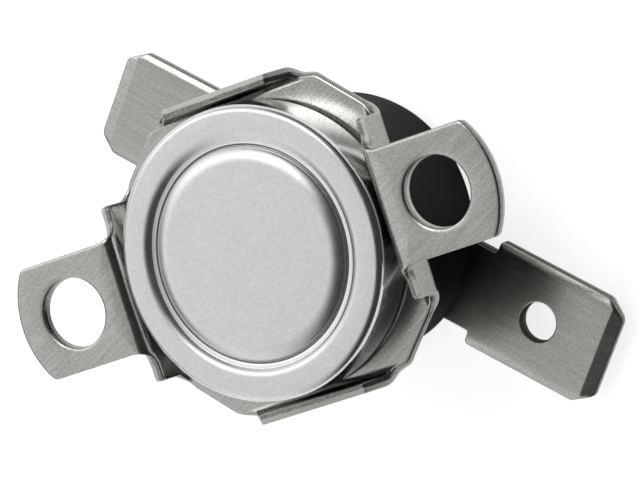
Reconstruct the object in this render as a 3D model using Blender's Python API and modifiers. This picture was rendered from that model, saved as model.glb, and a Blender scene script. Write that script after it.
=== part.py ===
"""Snap-disc bimetal thermostat with a swivelling two-ear bracket, in metres, +Z up.

It rests on its two rivet heads with the sensing face up, and +X runs along the bracket's ears.
The bimetal disc lies crown up under the aluminium cap. When it gets hot it snaps over, and the
ceramic pin below it pushes the contact spring off the fixed contact. The bracket turns on the
housing's neck, held between the cap's rolled edge and the housing's shoulder.
"""

import math

import bmesh
import bpy
from mathutils import Matrix, Vector

MM = 0.001

# Gaps between pieces
SEAT_GAP = 0.03 * MM
SWIVEL_PLAY = 0.05 * MM
SWIVEL_CLEARANCE = 0.10 * MM
PIN_CLEARANCE = 0.06 * MM
GUIDE_CLEARANCE = 0.07 * MM
CAVITY_CLEARANCE = 0.06 * MM
ROLL_CLEARANCE = 0.10 * MM
CRIMP_CLEARANCE = 0.08 * MM
DISC_CLEARANCE = 0.42 * MM
WALL_CLEARANCE = 0.10 * MM
FLANGE_CLEARANCE = 0.28 * MM
SLOT_CLEARANCE = 0.05 * MM

# Push pin, which is on the axis
PIN_RADIUS = 1.0 * MM
PIN_PLAY = 0.2 * MM
PIN_END_RADIUS = 1.5 * MM

# Contacts and the strips that carry them, laid out from the pin towards the housing's wall
SHELF_SETBACK = 0.9 * MM
CONTACT_MARGIN = 0.2 * MM
CONTACT_RADIUS = 0.9 * MM
CONTACT_HEIGHT = 0.45 * MM
CONTACT_CROWN = 0.12 * MM
CONTACT_SHANK_RADIUS = 0.47 * MM
CONTACT_TAIL_RADIUS = 0.7 * MM
CONTACT_TAIL_HEIGHT = 0.2 * MM
RIVET_OFFSET = 0.2 * MM
RIVET_SHANK_RADIUS = 0.8 * MM
RIVET_BORE_RADIUS = 0.45 * MM
RIVET_HEAD_RADIUS = 1.7 * MM
RIVET_HEAD_HEIGHT = 0.55 * MM
RIVET_ROLL_RADIUS = 1.25 * MM
RIVET_ROLL_HEIGHT = 0.35 * MM
STRIP_THICKNESS = 0.4 * MM
STRIP_WIDTH = 2.8 * MM
STRIP_BEND = 0.4 * MM
STRIP_FOOT_LENGTH = 1.6 * MM
STRIP_TAB_HEIGHT = 2.56 * MM
STRIP_TAB_LENGTH = 0.85 * MM
SPRING_THICKNESS = 0.2 * MM
SPRING_WIDTH = 2.4 * MM

# Moulded housing
HOUSING_WALL = 1.4 * MM
SHOULDER_WIDTH = 0.55 * MM
BARREL_HEIGHT = 8.45 * MM
BARREL_EDGE_RADIUS = 0.3 * MM
TERMINAL_SLOT_DEPTH = 0.5 * MM
FLOOR_THICKNESS = 2.4 * MM
CRIMP_GROOVE_DEPTH = 0.55 * MM
COLLAR_HEIGHT = 0.6 * MM

# Drawn sensing cap: its face is a ring, a groove and a boss, from the rim inwards
CAP_OVERHANG = 1.22 * MM
CAP_HEIGHT = 2.92 * MM
CAP_WALL = 0.4 * MM
CAP_EDGE_BEND = 0.25 * MM
CAP_ROLL_BEND = 0.25 * MM
RING_WIDTH = 1.65 * MM
RING_BEND = 0.3 * MM
GROOVE_OUTER_SLOPE = 0.3 * MM
GROOVE_FLAT = 0.27 * MM
GROOVE_INNER_SLOPE = 0.4 * MM
GROOVE_DEPTH = 0.45 * MM
GROOVE_BEND = 0.22 * MM
BOSS_PROUD = 0.14 * MM
BOSS_BEND = 0.5 * MM

# Bracket, bent from one sheet
SHEET = 0.6 * MM
FOOT_BEND = 0.75 * MM
EAR_BEND = 0.45 * MM
SHEET_EDGE = 0.07 * MM
EAR_RISE = 2.76 * MM
EAR_WIDTH = 6.35 * MM
EAR_HOLE_REACH = 3.18 * MM
EAR_HOLE_RADIUS = 1.95 * MM
EAR_END_MARGIN = 3.6 * MM
EAR_END_RADIUS = 5.35 * MM
EAR_CORNER_RADIUS = 0.45 * MM
EAR_FILLET = 1.0 * MM
WALL_LENGTH = 10.0 * MM
FLANGE_LENGTH = 6.75 * MM
FLANGE_HEIGHT = 2.1 * MM
FLANGE_FOOT_RISE = 0.45 * MM
FLANGE_FOOT_SETBACK = 0.9 * MM
TAB_CORNER_RADIUS = 0.3 * MM
PLATE_CHAMFER_REACH = 1.6 * MM
PLATE_CHAMFER_RISE = 0.25 * MM
PLATE_CORNER_RADIUS = 0.8 * MM

# Blade terminals, along the line that the two of them lie on
TERMINAL_ANGLE = math.radians(-42.2)
BLADE_WIDTH = 6.3 * MM
BLADE_THICKNESS = 0.8 * MM
BLADE_SETBACK = 1.25 * MM
BLADE_LENGTH = 8.15 * MM
BLADE_CORNER_LENGTH = 1.15 * MM
BLADE_CORNER_DEPTH = 0.8 * MM
BLADE_HOLE_SETBACK = 4.5 * MM
BLADE_HOLE_RADIUS = 1.09 * MM
TIP_BEVEL_LENGTH = 0.75 * MM
TIP_BEVEL_DEPTH = 0.24 * MM
SIDE_BEVEL_WIDTH = 0.35 * MM
SIDE_BEVEL_DEPTH = 0.13 * MM
TERMINAL_NECK_WIDTH = 4.8 * MM

# Bimetal disc and pin guide
DISC_THICKNESS = 0.2 * MM
DISC_DOME = 0.28 * MM
GUIDE_LEDGE_WIDTH = 0.9 * MM
GUIDE_RECESS = 0.5 * MM
GUIDE_FLOOR = 0.8 * MM
GUIDE_BUSH_WALL = 0.9 * MM
GUIDE_BUSH_LENGTH = 1.0 * MM

# How finely round forms are divided
TURN_STEPS = 48
SMALL_TURN_STEPS = 18
EAR_HOLE_STEPS = 32
ARC_STEPS = 3

# Places and radii, from the axis outwards
SHELF_START = PIN_RADIUS + SHELF_SETBACK
CONTACT_PLACE = SHELF_START + CONTACT_MARGIN + CONTACT_RADIUS
CONTACT_HOLE_RADIUS = CONTACT_SHANK_RADIUS + SEAT_GAP
SPRING_END = CONTACT_PLACE + CONTACT_RADIUS
RIVET_PLACE = CONTACT_PLACE + RIVET_OFFSET
RIVET_HOLE_RADIUS = RIVET_SHANK_RADIUS + SLOT_CLEARANCE
TERMINAL_INNER_END = RIVET_PLACE - RIVET_HEAD_RADIUS
STRIP_FOOT_START = RIVET_PLACE - STRIP_FOOT_LENGTH
STRIP_RISER = RIVET_PLACE + RIVET_ROLL_RADIUS + ROLL_CLEARANCE + STRIP_BEND
SPRING_FLEX_PLACE = STRIP_RISER - STRIP_THICKNESS / 2 - STRIP_TAB_LENGTH
RISER_CORNER = math.hypot(STRIP_RISER + STRIP_THICKNESS / 2, STRIP_WIDTH / 2)
CAVITY_RADIUS = RISER_CORNER + CAVITY_CLEARANCE
NECK_RADIUS = CAVITY_RADIUS + HOUSING_WALL
CRIMP_RADIUS = NECK_RADIUS - CRIMP_GROOVE_DEPTH
BARREL_RADIUS = NECK_RADIUS + SHOULDER_WIDTH
CAP_RADIUS = NECK_RADIUS + CAP_OVERHANG
RING_INNER_RADIUS = CAP_RADIUS - RING_WIDTH
GROOVE_OUTER_RADIUS = RING_INNER_RADIUS - GROOVE_OUTER_SLOPE
GROOVE_INNER_RADIUS = GROOVE_OUTER_RADIUS - GROOVE_FLAT
BOSS_RADIUS = GROOVE_INNER_RADIUS - GROOVE_INNER_SLOPE
DISC_RADIUS = CAP_RADIUS - CAP_WALL - DISC_CLEARANCE
WALL_MIDDLE = CAP_RADIUS + WALL_CLEARANCE + SHEET / 2
FLANGE_MIDDLE = CAP_RADIUS + FLANGE_CLEARANCE + SHEET / 2
EAR_HOLE_PLACE = WALL_MIDDLE + SHEET / 2 + EAR_HOLE_REACH
PLATE_CHAMFER_PLACE = CAP_RADIUS + PLATE_CHAMFER_REACH
BLADE_SHOULDER = BARREL_RADIUS + BLADE_SETBACK
BLADE_TIP = BLADE_SHOULDER + BLADE_LENGTH
BLADE_HOLE_PLACE = BLADE_TIP - BLADE_HOLE_SETBACK

# Heights of the stack, from the plane that the rivet heads rest on
TERMINAL_BACK = RIVET_HEAD_HEIGHT + SEAT_GAP
TERMINAL_FRONT = TERMINAL_BACK + BLADE_THICKNESS
SLOT_FLOOR = TERMINAL_FRONT + SEAT_GAP
HOUSING_BACK = SLOT_FLOOR - TERMINAL_SLOT_DEPTH
CAVITY_FLOOR = SLOT_FLOOR + FLOOR_THICKNESS
SHOULDER = HOUSING_BACK + BARREL_HEIGHT
PLATE_BACK = SHOULDER + SWIVEL_PLAY
PLATE_FRONT = PLATE_BACK + SHEET
CAP_BACK = PLATE_FRONT + SWIVEL_PLAY
CAP_RING = CAP_BACK + CAP_HEIGHT
LIP_FRONT = CAP_BACK + CAP_WALL
COLLAR_BACK = LIP_FRONT + SEAT_GAP
HOUSING_FRONT = COLLAR_BACK + COLLAR_HEIGHT
GUIDE_BACK = HOUSING_FRONT + SEAT_GAP

# The disc's crown clears the cap's groove, and the guide's ledge comes up to the disc's rim.
GROOVE_INSIDE = CAP_RING - GROOVE_DEPTH - CAP_WALL
DOME_AT_GROOVE = DISC_DOME * (1 - (GROOVE_INNER_RADIUS / DISC_RADIUS) ** 2)
DISC_RIM_TOP = GROOVE_INSIDE - DOME_AT_GROOVE - SEAT_GAP
DISC_RIM_BACK = DISC_RIM_TOP - DISC_THICKNESS
GUIDE_FRONT = DISC_RIM_BACK - SEAT_GAP

# The pin moves once the disc has taken up the play: its travel is 2 * DISC_DOME - PIN_PLAY.
FOOT_BACK = CAVITY_FLOOR + SEAT_GAP
FOOT_FRONT = FOOT_BACK + STRIP_THICKNESS
TAB_FRONT = CAVITY_FLOOR + STRIP_TAB_HEIGHT
SPRING_BACK = TAB_FRONT + SEAT_GAP
SPRING_FRONT = SPRING_BACK + SPRING_THICKNESS
PIN_BACK = SPRING_FRONT + SEAT_GAP
PIN_FRONT = DISC_RIM_BACK + DISC_DOME - PIN_PLAY
MOVING_CONTACT_FACE = SPRING_FRONT + SEAT_GAP + CONTACT_HEIGHT
FIXED_CONTACT_FACE = MOVING_CONTACT_FACE + SEAT_GAP
SHELF_BACK = FIXED_CONTACT_FACE + CONTACT_HEIGHT + SEAT_GAP

PARTS = "bimetal_thermostat"
CUTTERS = "cutters"


def clear_scene():
    for item in list(bpy.data.objects):
        bpy.data.objects.remove(item, do_unlink=True)
    for name in (PARTS, CUTTERS):
        collection = bpy.data.collections.new(name)
        bpy.context.scene.collection.children.link(collection)


def finish_of(name, colour, roughness, metallic):
    material = bpy.data.materials.new(name)
    material.use_nodes = True
    shader = material.node_tree.nodes["Principled BSDF"]
    shader.inputs["Base Color"].default_value = (*colour, 1)
    shader.inputs["Roughness"].default_value = roughness
    shader.inputs["Metallic"].default_value = metallic
    material.diffuse_color = (*colour, 1)
    return material


def add_object(name, mesh, collection=PARTS):
    item = bpy.data.objects.new(name, mesh)
    bpy.data.collections[collection].objects.link(item)
    return item


def rounded(corners):
    """Points of a line or outline whose corners (x, y, radius) are arcs of that radius."""
    points = []
    for i, (x, y, radius) in enumerate(corners):
        corner = Vector((x, y))
        if radius == 0:
            points.append(corner)
            continue
        before = (Vector(corners[i - 1][:2]) - corner).normalized()
        after = (Vector(corners[(i + 1) % len(corners)][:2]) - corner).normalized()
        half = before.angle(after) / 2
        centre = corner + (before + after).normalized() * radius / math.sin(half)
        spoke = corner + before * radius / math.tan(half) - centre
        turn = math.copysign(math.pi - 2 * half, after.cross(before))
        steps = max(2, math.ceil(abs(turn) / (math.pi / 2) * ARC_STEPS))
        for step in range(steps + 1):
            points.append(centre + Matrix.Rotation(turn * step / steps, 2) @ spoke)
    return points


def thickened(path, thickness):
    """The outline of a sheet's section whose middle line is the path. Ends on the axis stay
    there."""
    sides = ([], [])
    for i, point in enumerate(path):
        before = (point - path[max(i - 1, 0)]).normalized()
        after = (path[min(i + 1, len(path) - 1)] - point).normalized()
        along = (before + after).normalized()
        across = Vector((-along.y, along.x))
        across *= thickness / 2 / max(along.dot(after), along.dot(before))
        if point.x == 0:
            across.x = 0
        sides[0].append(point + across)
        sides[1].append(point - across)
    return sides[0] + sides[1][::-1]


def circle(radius, x=0.0, y=0.0, steps=SMALL_TURN_STEPS):
    angles = [2 * math.pi * step / steps for step in range(steps)]
    return [Vector((x + radius * math.cos(a), y + radius * math.sin(a))) for a in angles]


def shade(mesh):
    mesh.shade_smooth()
    mesh.set_sharp_from_angle(angle=math.radians(30))


def turned(name, outline, closed=True, steps=TURN_STEPS, collection=PARTS):
    """A solid of revolution about Z: the outline is (radius, height), down its outer side."""
    mesh = bpy.data.meshes.new(name)
    edges = [(i, i + 1) for i in range(len(outline) - 1)]
    if closed:
        edges.append((len(outline) - 1, 0))
    mesh.from_pydata([(point.x, 0, point.y) for point in outline], edges, [])
    item = add_object(name, mesh, collection)
    screw = item.modifiers.new("turn", "SCREW")
    screw.steps = steps
    screw.render_steps = steps
    screw.use_merge_vertices = True
    screw.merge_threshold = 1e-7
    screw.use_smooth_shade = True
    return item


def flat(name, loops, low, high, collection=PARTS):
    """A flat piece between two heights: its first loop is the outline, the others are holes."""
    curve = bpy.data.curves.new(name, "CURVE")
    curve.dimensions = "2D"
    curve.fill_mode = "BOTH"
    curve.extrude = (high - low) / 2
    for loop in loops:
        spline = curve.splines.new("POLY")
        spline.points.add(len(loop) - 1)
        for spline_point, point in zip(spline.points, loop):
            spline_point.co = (point.x, point.y, 0, 1)
        spline.use_cyclic_u = True
    drawn = add_object(name + "_outline", curve, collection)
    drawn.location.z = (low + high) / 2
    bpy.context.view_layer.update()
    evaluated = drawn.evaluated_get(bpy.context.evaluated_depsgraph_get())
    mesh = bpy.data.meshes.new_from_object(evaluated)
    mesh.name = name
    place = drawn.matrix_world.copy()
    bpy.data.objects.remove(drawn)
    work = bmesh.new()
    work.from_mesh(mesh)
    bmesh.ops.remove_doubles(work, verts=work.verts, dist=1e-7)
    bmesh.ops.dissolve_limit(work, angle_limit=0.001, verts=work.verts, edges=work.edges)
    bmesh.ops.recalc_face_normals(work, faces=work.faces)
    work.to_mesh(mesh)
    work.free()
    item = add_object(name, mesh, collection)
    item.matrix_world = place
    return item


def sideways(name, outline, width, collection=PARTS):
    """A section drawn in the XZ plane and extruded along Y, half its width each way."""
    item = flat(name, [outline], -width / 2, width / 2, collection)
    item.matrix_world = Matrix.Rotation(math.pi / 2, 4, "X")
    return item


def combine(item, operation, tool):
    tool.hide_render = True
    tool.display_type = "WIRE"
    boolean = item.modifiers.new(operation.lower() + "_" + tool.name, "BOOLEAN")
    boolean.operation = operation
    boolean.solver = "EXACT"
    boolean.object = tool


def drill(name, radius, low, high, x=0.0):
    tool = flat(name, [circle(radius)], low, high, CUTTERS)
    tool.location.x = x
    return tool


def make_cap(material):
    front = CAP_RING - CAP_WALL / 2
    groove = front - GROOVE_DEPTH
    wall = CAP_RADIUS - CAP_WALL / 2
    lip = CAP_BACK + CAP_WALL / 2
    path = rounded(
        [
            (0, front + BOSS_PROUD, 0),
            (BOSS_RADIUS, front + BOSS_PROUD, BOSS_BEND),
            (GROOVE_INNER_RADIUS, groove, GROOVE_BEND),
            (GROOVE_OUTER_RADIUS, groove, GROOVE_BEND),
            (RING_INNER_RADIUS, front, RING_BEND),
            (wall, front, CAP_EDGE_BEND),
            (wall, lip, CAP_ROLL_BEND),
            (CRIMP_RADIUS + CRIMP_CLEARANCE, lip, 0),
        ]
    )
    cap = turned("sensing_cap", thickened(path, CAP_WALL), closed=False)
    cap.data.materials.append(material)


def bracket_blank():
    """The bracket's flat blank, one quarter mirrored twice, with each bend laid out straight."""
    arc = FOOT_BEND * math.pi / 2
    wall_fold = WALL_MIDDLE - FOOT_BEND
    wall_top = wall_fold + arc + EAR_RISE - FOOT_BEND - EAR_BEND
    ear_shift = wall_top + EAR_BEND * math.pi / 2 - (WALL_MIDDLE + EAR_BEND)
    ear_end = EAR_HOLE_PLACE + EAR_END_MARGIN + ear_shift
    half_ear = EAR_WIDTH / 2
    corner = ear_end - EAR_END_RADIUS + math.sqrt(EAR_END_RADIUS**2 - half_ear**2)
    flange_fold = FLANGE_MIDDLE - FOOT_BEND
    flange_end = flange_fold + arc + FLANGE_HEIGHT - SHEET / 2 - FOOT_BEND
    half_flange = FLANGE_LENGTH / 2
    half_wall = WALL_LENGTH / 2
    chamfer = PLATE_CHAMFER_PLACE * math.sqrt(2)
    end_arc = [
        (
            ear_end - EAR_END_RADIUS + EAR_END_RADIUS * math.cos(a),
            EAR_END_RADIUS * math.sin(a),
            0,
        )
        for a in (math.asin(half_ear / EAR_END_RADIUS) * step / 8 for step in range(7))
    ]
    chamfer_end = flange_fold + PLATE_CHAMFER_RISE
    flange_foot = chamfer - chamfer_end - FLANGE_FOOT_SETBACK
    quarter = end_arc + [
        (corner, half_ear, EAR_CORNER_RADIUS),
        (wall_top, half_ear, EAR_FILLET),
        (wall_top, half_wall, TAB_CORNER_RADIUS),
        (chamfer - half_wall, half_wall, 0),
        (chamfer - chamfer_end, chamfer_end, PLATE_CORNER_RADIUS),
        (flange_foot, flange_fold + FLANGE_FOOT_RISE, 0),
        (half_flange, flange_end, TAB_CORNER_RADIUS),
    ]
    corners = list(quarter)
    corners += [(-x, y, r) for x, y, r in quarter[::-1]]
    corners += [(-x, -y, r) for x, y, r in quarter[1:]]
    corners += [(x, -y, r) for x, y, r in quarter[:0:-1]]
    ear_hole = EAR_HOLE_PLACE + ear_shift
    holes = [
        circle(NECK_RADIUS + SWIVEL_CLEARANCE, steps=TURN_STEPS),
        circle(EAR_HOLE_RADIUS, ear_hole, steps=EAR_HOLE_STEPS),
        circle(EAR_HOLE_RADIUS, -ear_hole, steps=EAR_HOLE_STEPS),
    ]
    return [rounded(corners)] + holes


def bent(length, fold, rise):
    """Where a point at this length along the blank lands: straight, up round a bend, and, where
    there is a rise to reach, out again round a second bend."""
    wall = length - fold - FOOT_BEND * math.pi / 2
    if length <= fold:
        return length, 0
    if wall <= 0:
        a = (length - fold) / FOOT_BEND
        return fold + FOOT_BEND * math.sin(a), FOOT_BEND * (1 - math.cos(a))
    middle = fold + FOOT_BEND
    if rise is None or wall <= rise - FOOT_BEND - EAR_BEND:
        return middle, FOOT_BEND + wall
    beyond = wall - (rise - FOOT_BEND - EAR_BEND)
    arc = EAR_BEND * math.pi / 2
    if beyond < arc:
        a = beyond / EAR_BEND
        return middle + EAR_BEND * (1 - math.cos(a)), rise - EAR_BEND * (1 - math.sin(a))
    return middle + EAR_BEND + beyond - arc, rise


def make_bracket(material):
    """The blank is filled, cut across at every step of its bends, bent up and given its
    thickness."""
    work = bmesh.new()
    for loop in bracket_blank():
        points = [work.verts.new((point.x, point.y, 0)) for point in loop]
        for i, point in enumerate(points):
            work.edges.new((point, points[i - 1]))
    bmesh.ops.triangle_fill(work, use_beauty=True, use_dissolve=False, edges=work.edges)
    arc = FOOT_BEND * math.pi / 2
    wall_fold = WALL_MIDDLE - FOOT_BEND
    flange_fold = FLANGE_MIDDLE - FOOT_BEND
    ear_fold = wall_fold + arc + EAR_RISE - FOOT_BEND - EAR_BEND
    shares = [math.pi / 2 * step / ARC_STEPS for step in range(ARC_STEPS + 1)]
    cuts = [(wall_fold + FOOT_BEND * share, "x") for share in shares]
    cuts += [(ear_fold + EAR_BEND * share, "x") for share in shares]
    cuts += [(flange_fold + FOOT_BEND * share, "y") for share in shares]
    for place, axis in cuts:
        for side in (1, -1):
            across = Vector((side, 0, 0)) if axis == "x" else Vector((0, side, 0))
            everything = work.verts[:] + work.edges[:] + work.faces[:]
            bmesh.ops.bisect_plane(
                work, geom=everything, dist=1e-7, plane_co=across * place, plane_no=across
            )
    for vertex in work.verts:
        x, y = vertex.co.x, vertex.co.y
        if abs(x) > wall_fold:
            reach, height = bent(abs(x), wall_fold, EAR_RISE)
            vertex.co = (math.copysign(reach, x), y, height)
        elif abs(y) > flange_fold:
            reach, height = bent(abs(y), flange_fold, None)
            vertex.co = (x, math.copysign(reach, y), height)
    bmesh.ops.dissolve_limit(work, angle_limit=0.001, verts=work.verts, edges=work.edges)
    bmesh.ops.recalc_face_normals(work, faces=work.faces)
    mesh = bpy.data.meshes.new("mounting_bracket")
    work.to_mesh(mesh)
    work.free()
    shade(mesh)
    bracket = add_object("mounting_bracket", mesh)
    bracket.location.z = PLATE_BACK + SHEET / 2
    solidify = bracket.modifiers.new("sheet", "SOLIDIFY")
    solidify.thickness = SHEET
    solidify.offset = 0
    solidify.use_even_offset = True
    bevel = bracket.modifiers.new("edges", "BEVEL")
    bevel.width = SHEET_EDGE
    bevel.segments = 1
    bevel.limit_method = "ANGLE"
    bevel.angle_limit = math.radians(60)
    bracket.data.materials.append(material)


def make_disc(material):
    places = [DISC_RADIUS * step / 5 for step in range(6)]
    middle = DISC_RIM_BACK + DISC_THICKNESS / 2
    path = [Vector((r, middle + DISC_DOME * (1 - (r / DISC_RADIUS) ** 2))) for r in places]
    disc = turned("bimetal_disc", thickened(path, DISC_THICKNESS), closed=False)
    disc.data.materials.append(material)


def make_pin_guide(material):
    outer = CAP_RADIUS - CAP_WALL - GUIDE_CLEARANCE
    floor = GUIDE_FRONT - GUIDE_RECESS
    spigot = CAVITY_RADIUS - GUIDE_CLEARANCE
    underside = floor - GUIDE_FLOOR
    bush_end = underside - GUIDE_BUSH_LENGTH
    bore = PIN_RADIUS + PIN_CLEARANCE
    bush = PIN_RADIUS + GUIDE_BUSH_WALL
    outline = rounded(
        [
            (bore, floor, 0),
            (outer - GUIDE_LEDGE_WIDTH, floor, 0),
            (outer - GUIDE_LEDGE_WIDTH, GUIDE_FRONT, 0),
            (outer, GUIDE_FRONT, 0),
            (outer, GUIDE_BACK, 0),
            (spigot, GUIDE_BACK, 0),
            (spigot, underside, 0),
            (bush, underside, 0),
            (bush, bush_end, 0),
            (bore, bush_end, 0),
        ]
    )
    guide = turned("pin_guide", outline)
    guide.data.materials.append(material)


def make_push_pin(material):
    """Both ends are domed, so that the pin still stands clear of the spring when that tilts."""
    reach = math.asin(PIN_RADIUS / PIN_END_RADIUS)
    dome = [
        (PIN_END_RADIUS * math.sin(reach * i / 5), PIN_END_RADIUS * (1 - math.cos(reach * i / 5)))
        for i in range(6)
    ]
    outline = [Vector((r, PIN_FRONT - drop)) for r, drop in dome]
    outline += [Vector((r, PIN_BACK + drop)) for r, drop in dome[::-1]]
    pin = turned("push_pin", outline, closed=False, steps=SMALL_TURN_STEPS)
    pin.data.materials.append(material)


def make_housing(frame, material):
    """A turned cup with its neck, crimp groove and collar, cut by a slot for each terminal and
    a hole for each rivet."""
    outline = rounded(
        [
            (0, CAVITY_FLOOR, 0),
            (CAVITY_RADIUS, CAVITY_FLOOR, 0.2 * MM),
            (CAVITY_RADIUS, HOUSING_FRONT, 0),
            (NECK_RADIUS, HOUSING_FRONT, 0.1 * MM),
            (NECK_RADIUS, COLLAR_BACK, 0),
            (CRIMP_RADIUS, COLLAR_BACK, 0),
            (CRIMP_RADIUS, CAP_BACK - SEAT_GAP, 0),
            (NECK_RADIUS, CAP_BACK - SEAT_GAP, 0),
            (NECK_RADIUS, SHOULDER, 0),
            (BARREL_RADIUS, SHOULDER, 0.15 * MM),
            (BARREL_RADIUS, HOUSING_BACK, BARREL_EDGE_RADIUS),
            (0, HOUSING_BACK, 0),
        ]
    )
    housing = turned("housing", outline, closed=False)
    housing.parent = frame
    reach = 2 * BARREL_RADIUS
    half = TERMINAL_NECK_WIDTH / 2 + SLOT_CLEARANCE
    inner = TERMINAL_INNER_END - SLOT_CLEARANCE
    for side, name in ((1, "fixed"), (-1, "spring")):
        corners = [(inner, -half), (reach, -half), (reach, half), (inner, half)]
        loop = [Vector((side * x, y)) for x, y in corners]
        slot = flat(name + "_terminal_slot", [loop], 0, SLOT_FLOOR, CUTTERS)
        hole = drill(name + "_rivet_hole", RIVET_HOLE_RADIUS, 0, PLATE_FRONT, side * RIVET_PLACE)
        for tool in (slot, hole):
            tool.parent = frame
            combine(housing, "DIFFERENCE", tool)
    housing.data.materials.append(material)


def make_terminals(frame, material):
    """Both blades are cut to one bevelled section, which runs through the axis from tip to tip."""
    half = BLADE_WIDTH / 2
    neck = TERMINAL_NECK_WIDTH / 2
    middle = (TERMINAL_BACK + TERMINAL_FRONT) / 2
    long_half = BLADE_THICKNESS / 2
    tip_half = long_half - TIP_BEVEL_DEPTH
    side_half = long_half - SIDE_BEVEL_DEPTH
    taper = BLADE_TIP - TIP_BEVEL_LENGTH
    flat_half = half - SIDE_BEVEL_WIDTH
    along = [(-BLADE_TIP, -tip_half), (-taper, -long_half), (taper, -long_half)]
    along += [(BLADE_TIP, -tip_half), (BLADE_TIP, tip_half), (taper, long_half)]
    along += [(-taper, long_half), (-BLADE_TIP, tip_half)]
    across = [(-half, -side_half), (-flat_half, -long_half), (flat_half, -long_half)]
    across += [(half, -side_half), (half, side_half), (flat_half, long_half)]
    across += [(-flat_half, long_half), (-half, side_half)]
    along_tool = sideways(
        "terminal_tip_form", [Vector(p) for p in along], 2 * BLADE_WIDTH, CUTTERS
    )
    across_tool = sideways(
        "terminal_side_form", [Vector(p) for p in across], 3 * BLADE_TIP, CUTTERS
    )
    across_tool.matrix_world = Matrix.Rotation(math.pi / 2, 4, "Z") @ across_tool.matrix_world
    for tool in (along_tool, across_tool):
        tool.matrix_world = Matrix.Translation((0, 0, middle)) @ tool.matrix_world
        tool.parent = frame
    corners = [
        (TERMINAL_INNER_END, -neck, 0.8 * MM),
        (BLADE_SHOULDER, -neck, 0.15 * MM),
        (BLADE_SHOULDER, -half, 0.2 * MM),
        (BLADE_TIP - BLADE_CORNER_LENGTH, -half, 0.4 * MM),
        (BLADE_TIP, BLADE_CORNER_DEPTH - half, 0.4 * MM),
    ]
    corners += [(x, -y, radius) for x, y, radius in corners[::-1]]
    for side, name in ((1, "fixed_side_terminal"), (-1, "spring_side_terminal")):
        loops = [
            rounded(corners),
            circle(RIVET_HOLE_RADIUS, RIVET_PLACE),
            circle(BLADE_HOLE_RADIUS, BLADE_HOLE_PLACE),
        ]
        terminal = flat(name, loops, TERMINAL_BACK, TERMINAL_FRONT)
        terminal.parent = frame
        terminal.rotation_euler.z = 0 if side > 0 else math.pi
        combine(terminal, "INTERSECT", along_tool)
        combine(terminal, "INTERSECT", across_tool)
        terminal.data.materials.append(material)


def make_rivet(name, x, clamped_top, frame, material):
    """A hollow rivet: its head is below, and its rolled end clamps down on what it holds."""
    roll_back = clamped_top + SEAT_GAP
    top = roll_back + RIVET_ROLL_HEIGHT
    flare = (RIVET_SHANK_RADIUS + RIVET_BORE_RADIUS) / 2
    outline = rounded(
        [
            (RIVET_BORE_RADIUS, roll_back, 0),
            (flare, top, 0),
            (RIVET_ROLL_RADIUS, top, 0.25 * MM),
            (RIVET_ROLL_RADIUS, roll_back, 0),
            (RIVET_SHANK_RADIUS, roll_back, 0),
            (RIVET_SHANK_RADIUS, RIVET_HEAD_HEIGHT, 0),
            (RIVET_HEAD_RADIUS, RIVET_HEAD_HEIGHT, 0.1 * MM),
            (RIVET_HEAD_RADIUS, 0, 0.3 * MM),
            (flare, 0, 0),
            (RIVET_BORE_RADIUS, RIVET_HEAD_HEIGHT, 0),
        ]
    )
    rivet = turned(name, outline, steps=SMALL_TURN_STEPS)
    rivet.location.x = x
    rivet.parent = frame
    rivet.data.materials.append(material)


def make_strips(frame, material):
    """Each strip has a foot under its rivet and a riser. The fixed side's ends in a shelf over
    the contact spring, the spring side's in a tab under the spring's root."""
    foot = FOOT_BACK + STRIP_THICKNESS / 2
    shelf = SHELF_BACK + STRIP_THICKNESS / 2
    tab = TAB_FRONT - STRIP_THICKNESS / 2
    middle = (foot + tab) / 2
    strips = (
        ("fixed_side_strip", 1, shelf, SHELF_START),
        ("spring_side_strip", -1, tab, SPRING_FLEX_PLACE),
    )
    for name, side, top, end in strips:
        corners = [
            (side * STRIP_FOOT_START, foot, 0),
            (side * STRIP_RISER, foot, STRIP_BEND),
            (side * STRIP_RISER, top, STRIP_BEND),
            (side * end, top, 0),
        ]
        section = thickened(rounded(corners), STRIP_THICKNESS)
        strip = sideways(name, section, STRIP_WIDTH)
        strip.parent = frame
        hole = drill(name + "_rivet_hole", RIVET_HOLE_RADIUS, 0, middle, side * RIVET_PLACE)
        hole.parent = frame
        combine(strip, "DIFFERENCE", hole)
        strip.data.materials.append(material)
    strip = bpy.data.objects["fixed_side_strip"]
    hole = drill("fixed_contact_hole", CONTACT_HOLE_RADIUS, middle, 2 * shelf, CONTACT_PLACE)
    hole.parent = frame
    combine(strip, "DIFFERENCE", hole)


def contact_outline(face, carrier_near, carrier_far):
    """A contact rivet's outline, from its crowned face through its carrier to its tail: the
    heights may run either way."""
    away = math.copysign(1, carrier_far - face)
    seat = carrier_near - away * SEAT_GAP
    tail_near = carrier_far + away * SEAT_GAP
    tail_far = tail_near + away * CONTACT_TAIL_HEIGHT
    corners = [
        (0, face, 0),
        (CONTACT_RADIUS / 2, face, 0),
        (CONTACT_RADIUS, face + away * CONTACT_CROWN, 0),
        (CONTACT_RADIUS, seat, 0),
        (CONTACT_SHANK_RADIUS, seat, 0),
        (CONTACT_SHANK_RADIUS, tail_near, 0),
        (CONTACT_TAIL_RADIUS, tail_near, 0),
        (CONTACT_TAIL_RADIUS, tail_far, 0.1 * MM),
        (0, tail_far, 0),
    ]
    if away > 0:
        corners.reverse()
    return rounded(corners)


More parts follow.
